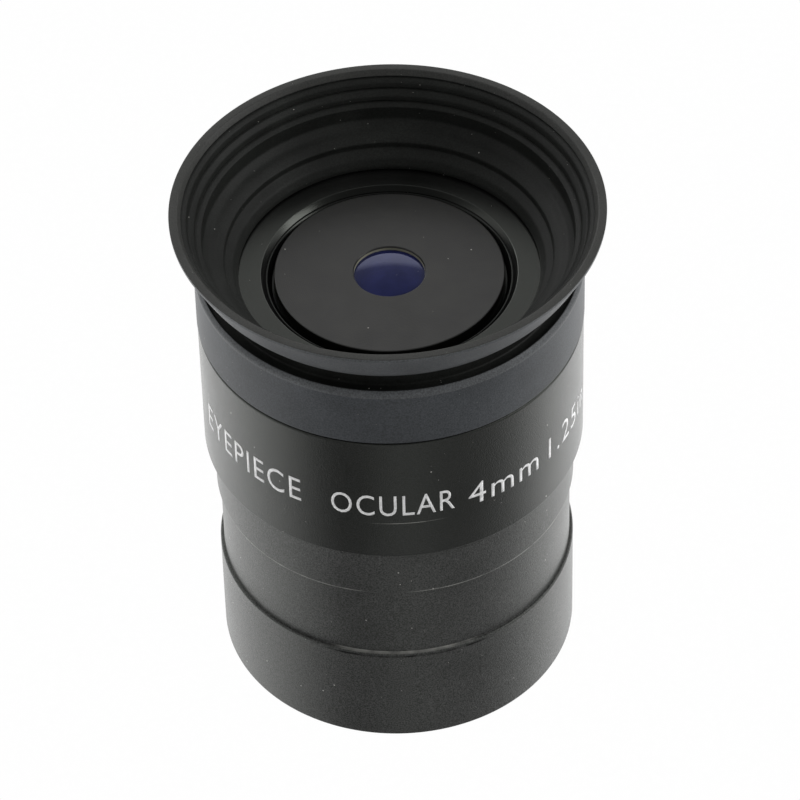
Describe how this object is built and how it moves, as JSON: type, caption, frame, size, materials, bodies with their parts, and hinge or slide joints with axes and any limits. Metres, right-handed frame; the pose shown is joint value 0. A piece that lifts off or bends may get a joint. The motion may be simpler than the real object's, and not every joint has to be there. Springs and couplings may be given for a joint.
{
  "type": "telescope eyepiece",
  "caption": "Short focus telescope eyepiece with a folding rubber eyecup, a coated lens stack in a screwed cell, and an unscrewing barrel for a 1.25 inch focuser.",
  "frame": {"origin": "centre of the barrel's open end, on the optical axis", "axes": "+Z along the optical axis towards the observer's eye"},
  "size_m": [0.0372, 0.0372, 0.0493],
  "materials": {
    "anodised": "fine bead-blasted black anodising",
    "cap_satin": "satin black anodising with faint turning marks",
    "inner_black": "matte black",
    "coated_glass": "polished with a violet-blue anti-reflection coating",
    "rubber": "matte moulded rubber with light dust"
  },
  "bodies": {
    "barrel": {"barrel": "anodised"},
    "thread_follower": {"field_stop": "inner_black"},
    "housing": {"housing": "anodised", "eye_cap": "cap_satin", "lens_cell": "inner_black", "eye_lens_flint": "coated_glass", "eye_lens_crown": "coated_glass", "lens_spacer": "inner_black", "field_lens_crown": "coated_glass", "field_lens_flint": "coated_glass", "lens_retaining_ring": "inner_black", "eyecup_band": "rubber", "eyecup_flare": "rubber"},
    "eyecup_rim": {"eyecup_rim": "rubber"}
  },
  "joints": [
    {"name": "housing_lift", "type": "slide", "parent": "barrel", "child": "thread_follower", "axis": [0, 0, 1], "range_m": [0, 0.00413]},
    {"name": "housing_unscrew", "type": "hinge", "parent": "thread_follower", "child": "housing", "pos_m": [0, 0, 0.026], "axis": [0, 0, 1], "range_deg": [0, 1980]},
    {"name": "eyecup_fold", "type": "slide", "parent": "housing", "child": "eyecup_rim", "axis": [0, 0, -1], "range_m": [0, 0.008], "deforming": ["eyecup_flare"]}
  ],
  "couplings": [
    {"joint": "housing_lift", "follows": "housing_unscrew", "m_per_rad": 0.00011937}
  ]
}
